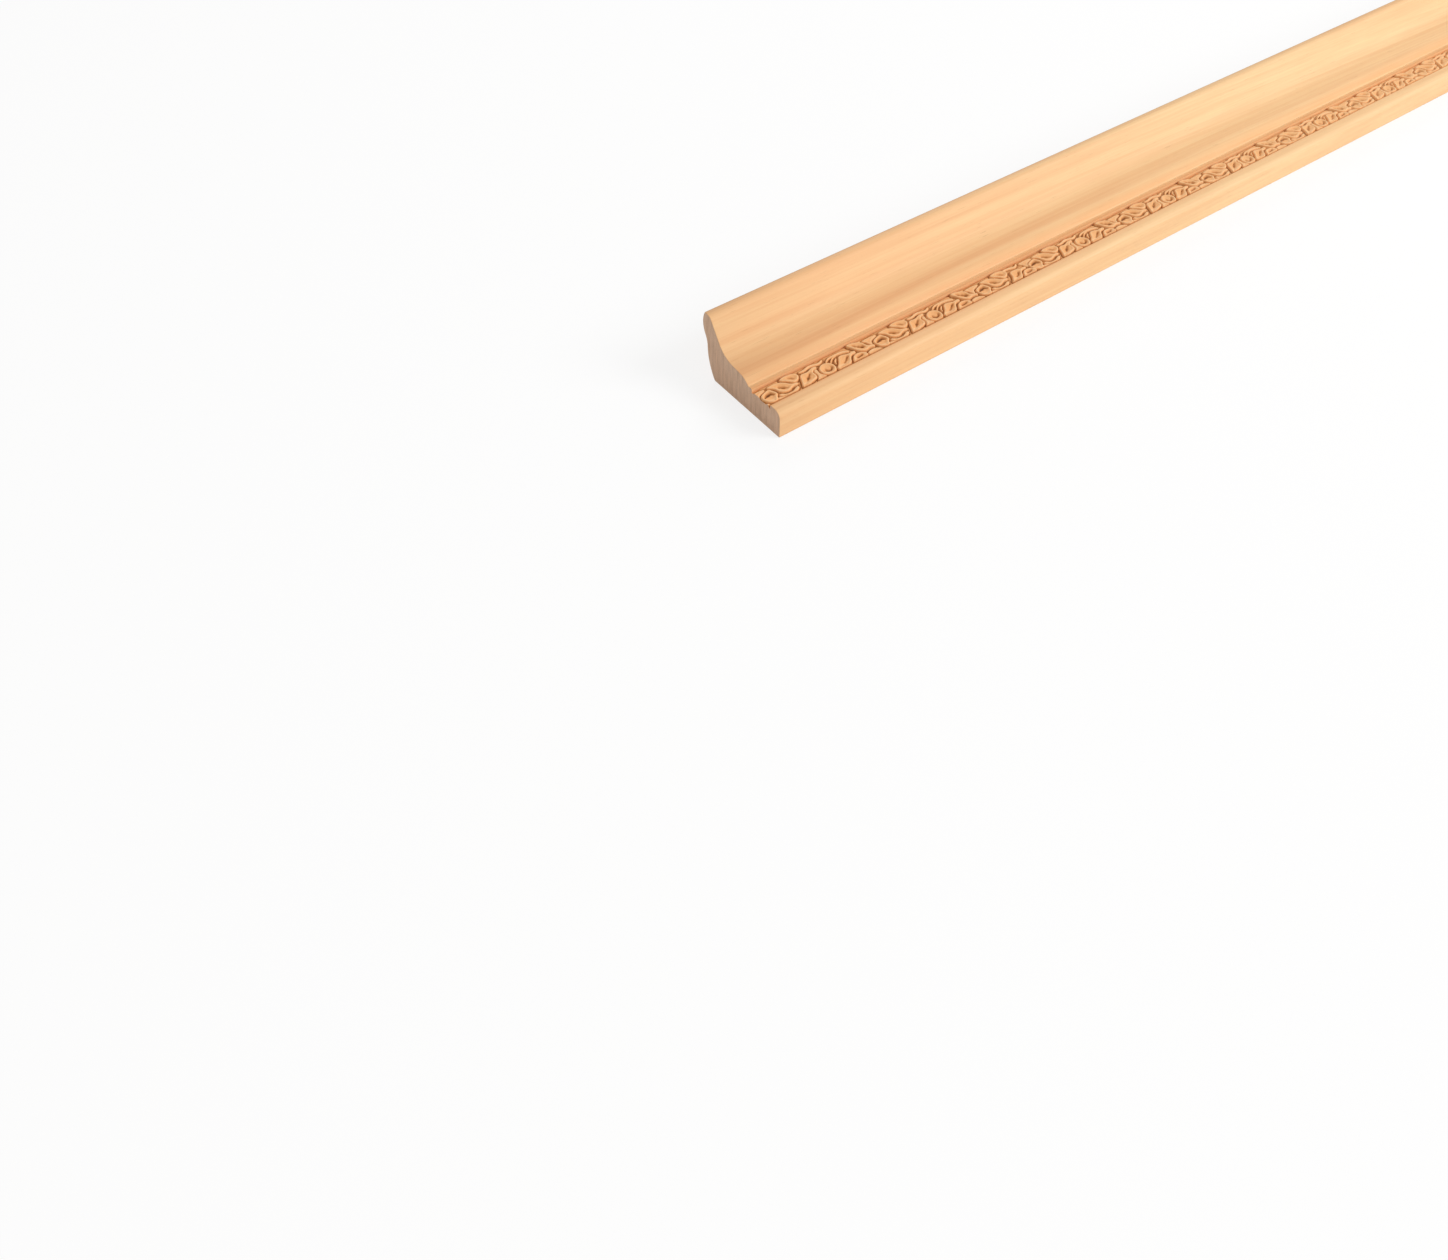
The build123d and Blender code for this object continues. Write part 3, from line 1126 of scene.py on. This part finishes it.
def wood_figure(bench, place, finish):
    """Colour of the wood, with painted shade along the cove and painted light past the near end, and the
    height of its fine grain from 0 to 1.
    """
    along = bench.split(place)[0]
    streak_and_cove_shade_share = streak_and_cove_shade(bench, place)
    place = drifting(bench, place)
    # Painted light: the near end is left darker and the wood painted paler over the first stretch from it,
    # and it loses half of that by the far end
    paled, first_loss = cad_low.x + 0.2, cad_low.x + 0.25
    far_share = bench.level(bench.between(along, cad_high.x, first_loss), 0.5, 0.5)
    painted_light_along = bench.product(bench.between(along, cad_low.x, paled), far_share, 0.65)
    broad = bench.product(bench.streaks(place, 2.6, 110.0, 0.3, 0.7), 0.45)
    broad = bench.math("ADD", broad, painted_light_along, clamp=True)
    fibre = bench.grain(place, (70.0, 5200.0, 5200.0))
    # Each layer of late wood, with how strongly it shows. The streak along the run and cove is also painted
    # shade
    layers = [
        (growth_rings(bench, place, finish), 0.1),
        (bench.streaks(place, 6.0, 300.0, 0.4, 0.75, offset=(5, 2, 1)), 0.22),
        (streak_and_cove_shade_share, 0.62),
        (bench.streaks(place, 9.0, 900.0, 0.38, 0.72, detail=4.0, rough=0.6), 0.14),
        (bench.streaks(place, 22.0, 2100.0, 0.35, 0.7, offset=(2, 7, 3)), 0.14),
        (bench.streaks(place, 60.0, 420.0, 0.35, 0.7, offset=(6, 1, 8)), 0.08),
        (fibre, 0.08),
    ]
    tone = bench.tint(linear(finish.warm), broad, finish.pale)
    for layer, strength in layers:
        tone = bench.tint(tone, bench.product(layer, strength), finish.ring)
    fleck = bench.streaks(place, 210.0, 5200.0, 0.69, 0.78, detail=1.0, offset=(3, 1, 2))
    tone = bench.tint(tone, bench.product(fleck, 0.28), finish.fleck)
    return tone, bench.math("SUBTRACT", fibre, bench.product(fleck, 0.6))


def tan_front(bench, place, tone):
    """Tans and smokes the planed wood in front of the sunk band, and warms the front strip."""
    size, _, finish, _ = settings()
    fade_start, fade_end = cad_low.x + 0.02, cad_low.x + 0.24
    x, y, _ = bench.split(place)
    band_start = places_across(size)[0]
    fade = bench.between(x, fade_end, fade_start)
    before = bench.stripe(y, band_start, rise=(-1.7, -0.2), fall=(0.05, 0.1))
    tone = bench.tint(tone, bench.product(before, fade, 0.19), finish.fleck)
    tone = bench.tint(tone, bench.product(before, bench.level(fade, 0.2, 0.08)), finish.glow)
    strip = bench.stripe(y, band_start, rise=(-2.05, -1.45), fall=(-0.8, -0.1))
    return bench.tint(tone, bench.product(strip, bench.level(fade, 0.2, 0.2)), finish.warm)


def tan_behind(bench, place, tone):
    """Tans the planed wood behind the sunk band as far as the ovolo, and browns the small bead's inner half.
    The quirk is tanned less and painted paler, painted light against the shade in its crease."""
    size, _, finish, _ = settings()
    strong_start, strong_end = cad_low.x + 0.03, cad_low.x + 0.12
    quirk_half_width = 0.6 * MM
    x, y, _ = bench.split(place)
    _, band_end, quirk = places_across(size)
    past_wall = bench.between(y, band_end + 0.01 * MM, band_end + 0.08 * MM)
    patchy = bench.streaks(place, 90.0, 300.0, 0.2, 0.7)
    from_quirk = bench.math("ABSOLUTE", bench.math("SUBTRACT", y, quirk - 0.15 * MM))
    lit_quirk = bench.between(from_quirk, quirk_half_width, quirk_half_width / 3)
    halo = bench.product(
        past_wall,
        bench.between(y, quirk + 3.4 * MM, quirk - 0.4 * MM),
        bench.level(bench.between(x, strong_start, strong_end), 0.47, 0.68),
        bench.level(patchy, 0.15, 0.3),
        bench.level(lit_quirk, -0.6, 1.0),
    )
    tone = bench.tint(tone, halo, finish.glow)
    # Painted light: the quirk's crease is paled against its shade
    tone = bench.tint(tone, bench.product(lit_quirk, 0.25), finish.pale)
    inner_half = bench.between(y, quirk - 0.3 * MM, quirk - 1.2 * MM)
    bead = bench.product(past_wall, inner_half, bench.level(patchy, 0.1, 0.34))
    return bench.tint(tone, bead, finish.burn_and_shade)


def brown_and_shade_wall(bench, place, tone):
    """Browns the band's outer wall, and darkens it most at its foot with painted shade."""
    size, _, finish, _ = settings()
    _, y, z = bench.split(place)
    on_wall = bench.stripe(y, places_across(size)[1], rise=(-0.05, -0.02), fall=(0.01, 0.08))
    # Painted shade grows towards the wall's foot
    foot = bench.between(z, size.rim_bead_shoulder - 0.3 * MM, size.nose_height - size.band_depth)
    return bench.tint(tone, bench.product(on_wall, bench.level(foot, 0.2, 0.06)), finish.burn_and_shade)


def shade_crest(bench, place, tone):
    """Painted shade: darkens the wood towards the crest's outer corner, which turns away from the light, and
    the corner itself.
    """
    finish = settings()[2]
    y = bench.split(place)[1]
    outer = bench.between(y, cad_high.y - 3.4 * MM, cad_high.y - 1.4 * MM)
    tone = bench.tint(tone, bench.product(outer, 0.2), finish.fleck)
    corner = bench.between(y, cad_high.y - 1.45 * MM, cad_high.y - 0.95 * MM)
    return bench.tint(tone, bench.product(corner, 0.35), finish.end_pore)


def brown_and_shade_relief(bench, place, tone):
    """Browns the grooves of the pressed vine, chars its pits and tans its tops inside their paler rims, with
    painted shade in the grooves and pits and a painted highlight on the rims. The brown and painted shade
    are strongest at the near end."""
    finish = settings()[2]
    browned_and_shaded = bench.add("ShaderNodeAttribute", attribute_name="browned_and_shaded").outputs["Fac"]
    hot_end, cool_start = cad_low.x + 0.08, cad_low.x + 0.3
    cooler = bench.between(bench.split(place)[0], hot_end, cool_start)
    brown_and_shade_strength = bench.level(cooler, -0.62, 1.0)
    tan_heat = bench.level(cooler, -0.1, 1.0)
    patchy = bench.streaks(place, 260.0, 420.0, 0.15, 0.75)
    off_rim = bench.math("ADD", browned_and_shaded, 1.0, clamp=True)
    lit_rim = bench.math("MULTIPLY", browned_and_shaded, -0.85, clamp=True)
    tone = bench.tint(tone, lit_rim, finish.warm)
    tone = bench.tint(tone, bench.product(off_rim, bench.level(patchy, 0.25, 0.4), tan_heat), finish.glow)
    half = bench.math("MULTIPLY", browned_and_shaded, bench.level(patchy, 0.2, 0.7), clamp=True)
    tone = bench.tint(tone, bench.product(half, brown_and_shade_strength), finish.burn_and_shade)
    charred_and_shaded = bench.math("MULTIPLY", bench.math("SUBTRACT", browned_and_shaded, 1.0), 0.85, clamp=True)
    return bench.tint(tone, bench.product(charred_and_shaded, brown_and_shade_strength), finish.char)


def planed_wood():
    """Pale hardwood, planed smooth, tanned a little beside the sunk band, with painted shade and painted
    light on it.
    """
    finish = settings()[2]
    bench = Bench(bpy.data.materials.new("planed_wood"))
    place = bench.add("ShaderNodeTexCoord").outputs["Object"]
    tone, low = wood_figure(bench, place, finish)
    for dress in (tan_front, tan_behind, brown_and_shade_wall, shade_crest):
        tone = dress(bench, place, tone)
    return bench.finish(tone, bench.level(low, 0.12, finish.roughness - 0.05), low, 0.012 * MM)


def pressed_wood():
    """The same wood, pressed by the hot roller, which browns it, with painted shade in its grooves and
    painted highlights on its rims.
    """
    finish = settings()[2]
    bench = Bench(bpy.data.materials.new("pressed_wood"))
    place = bench.add("ShaderNodeTexCoord").outputs["Object"]
    tone, low = wood_figure(bench, place, finish)
    tone = brown_and_shade_relief(bench, place, tone)
    return bench.finish(tone, bench.level(low, 0.12, finish.roughness), low, 0.02 * MM)


def end_grain():
    """The sawn end: the growth rings cut across, fine pores and faint saw marks."""
    finish = settings()[2]
    bench = Bench(bpy.data.materials.new("end_grain"))
    place = bench.add("ShaderNodeTexCoord").outputs["Object"]
    rings = growth_rings(bench, place, finish)
    flat = bench.add("ShaderNodeMapping", {"Vector": place, "Scale": (0, 5200, 5200)})
    cells = bench.add("ShaderNodeTexVoronoi", {"Vector": flat.outputs[0], "Scale": 1.0})
    pores = bench.between(cells.outputs["Distance"], 0.34, 0.16)
    rays = bench.between(bench.grain(place, (0.0, 2600.0, 160.0), detail=3.0), 0.4, 0.7)
    cloud = bench.grain(place, (0.0, 160.0, 160.0), detail=4.0)
    tone = bench.tint(linear(finish.end), bench.product(cloud, 0.3), finish.ring)
    tone = bench.tint(tone, bench.product(rings, cloud, 0.2), finish.end_pore)
    tone = bench.tint(tone, bench.product(rays, 0.25), finish.end_pore)
    tone = bench.tint(tone, bench.product(pores, 0.35), finish.end_pore)
    height = bench.math("SUBTRACT", rays, bench.product(pores, 0.8))
    return bench.finish(tone, 0.8, height, 0.02 * MM)


def floor_finish():
    """A plain pale floor that shows nearly white and keeps a faint shadow."""
    stage = settings()[3]
    bench = Bench(bpy.data.materials.new("pale_floor"))
    tone = stage.floor_tone
    matt = bench.add("ShaderNodeBsdfDiffuse", {"Color": (tone, tone, tone, 1)})
    white = bench.add("ShaderNodeEmission", {"Color": (1, 1, 1, 1), "Strength": 1.06})
    path = bench.add("ShaderNodeLightPath").outputs
    seen = bench.math("ADD", path["Is Camera Ray"], path["Is Glossy Ray"], clamp=True)
    seen = bench.math("ADD", seen, path["Is Transmission Ray"], clamp=True)
    fill = bench.product(seen, stage.floor_fill)
    both = bench.add("ShaderNodeMixShader", {0: fill, 1: matt.outputs[0], 2: white.outputs[0]})
    bench.put_out("ShaderNodeOutputMaterial", both)
    return bench.owner


def light_from_all_round():
    """The world: soft white light, and a plain white background."""
    stage = settings()[3]
    bench = Bench(bpy.data.worlds.new("studio"))
    bpy.context.scene.world = bench.owner
    path = bench.add("ShaderNodeLightPath").outputs
    shown = bench.math("MAXIMUM", path["Is Camera Ray"], path["Is Transmission Ray"])
    soft = bench.add("ShaderNodeBackground", {0: (1.0, 0.99, 0.98, 1), 1: stage.ambient})
    plain = bench.add("ShaderNodeBackground", {0: (1, 1, 1, 1), 1: 1.0})
    both = bench.add("ShaderNodeMixShader", {0: shown, 1: soft.outputs[0], 2: plain.outputs[0]})
    bench.put_out("ShaderNodeOutputWorld", both)


def wood_material(name, maker):
    """A material by name, made the first time it is asked for."""
    return bpy.data.materials.get(name) or maker()


def soft_lamp(name, place, side, level):
    """A square lamp aimed at the stick's middle, which lights a face turned to it to this level."""
    lamp = bpy.data.lights.new(name, "AREA")
    lamp.shape = "SQUARE"
    lamp.size = side
    distance = Vector(place).length
    # A face at this distance then shows its own colour times the level
    lamp.energy = level * (pi * distance) ** 2
    holder = bpy.data.objects.new(name, lamp)
    bpy.context.scene.collection.objects.link(holder)
    holder.location = place
    holder.rotation_euler = (-Vector(place)).to_track_quat("-Z", "Y").to_euler()


def make_floor(stage):
    """A level floor just under the stick, which belongs to the stage."""
    mesh = bmesh.new()
    bmesh.ops.create_grid(mesh, x_segments=1, y_segments=1, size=stage.floor_size)
    bmesh.ops.translate(mesh, verts=mesh.verts[:], vec=(0, 0, -0.02 * MM))
    data = bpy.data.meshes.new("floor")
    mesh.to_mesh(data)
    mesh.free()
    data.materials.append(floor_finish())
    floor = bpy.data.objects.new("floor", data)
    bpy.context.scene.collection.objects.link(floor)


def make_camera(stage):
    """The camera that sees the stick as the photo does."""
    lens = bpy.data.cameras.new("camera")
    lens.lens = stage.lens
    lens.sensor_width = 36
    lens.clip_start = 0.01
    camera = bpy.data.objects.new("camera", lens)
    bpy.context.scene.collection.objects.link(camera)
    camera.location = CAMERA_PLACE
    camera.rotation_euler = [radians(angle) for angle in CAMERA_TURN]
    bpy.context.scene.camera = camera


class MOULDING_OT_stick(bpy.types.Operator):
    """Make the planed stick of moulding"""

    bl_idname = "moulding.stick"
    bl_label = "Make the stick"

    def execute(self, context):
        make_stick([wood_material("planed_wood", planed_wood), wood_material("end_grain", end_grain)])
        return {"FINISHED"}


class MOULDING_OT_vine(bpy.types.Operator):
    """Make the pressed vine in the sunk band"""

    bl_idname = "moulding.vine"
    bl_label = "Make the pressed vine"

    def execute(self, context):
        make_vine([wood_material("pressed_wood", pressed_wood), wood_material("end_grain", end_grain)])
        return {"FINISHED"}


class MOULDING_OT_stage(bpy.types.Operator):
    """Make the floor, the lights and the camera"""

    bl_idname = "moulding.stage"
    bl_label = "Make the stage"

    def execute(self, context):
        stage = settings()[3]
        make_floor(stage)
        light_from_all_round()
        soft_lamp("front_lamp", (0.75, -1.35, 1.2), 1.1, stage.front_level)
        soft_lamp("rear_lamp", (0.9, 1.8, 1.3), 1.0, stage.rear_level)
        make_camera(stage)
        context.scene.view_settings.view_transform = "Standard"
        return {"FINISHED"}


class MOULDING_PT_panel(bpy.types.Panel):
    """Lists the steps that make the moulding"""

    bl_label = "Carved wood moulding"
    bl_idname = "MOULDING_PT_panel"
    bl_space_type = "VIEW_3D"
    bl_region_type = "UI"
    bl_category = "Moulding"

    def draw(self, context):
        for operator in (MOULDING_OT_stick, MOULDING_OT_vine, MOULDING_OT_stage):
            self.layout.operator(operator.bl_idname)


groups = {
    "moulding_section": MouldingSection,
    "vine_relief": VineRelief,
    "wood_finish": WoodFinish,
    "studio_stage": StudioStage,
}
classes = (*groups.values(), MOULDING_OT_stick, MOULDING_OT_vine, MOULDING_OT_stage, MOULDING_PT_panel)


def register():
    for each in classes:
        bpy.utils.register_class(each)
    for name, group in groups.items():
        setattr(bpy.types.Scene, name, PointerProperty(type=group))


def unregister():
    for name in groups:
        delattr(bpy.types.Scene, name)
    for each in reversed(classes):
        bpy.utils.unregister_class(each)


def main():
    """Makes everything in order."""
    register()
    bpy.ops.moulding.stick()
    bpy.ops.moulding.vine()
    bpy.ops.moulding.stage()


if __name__ == "__main__":
    main()
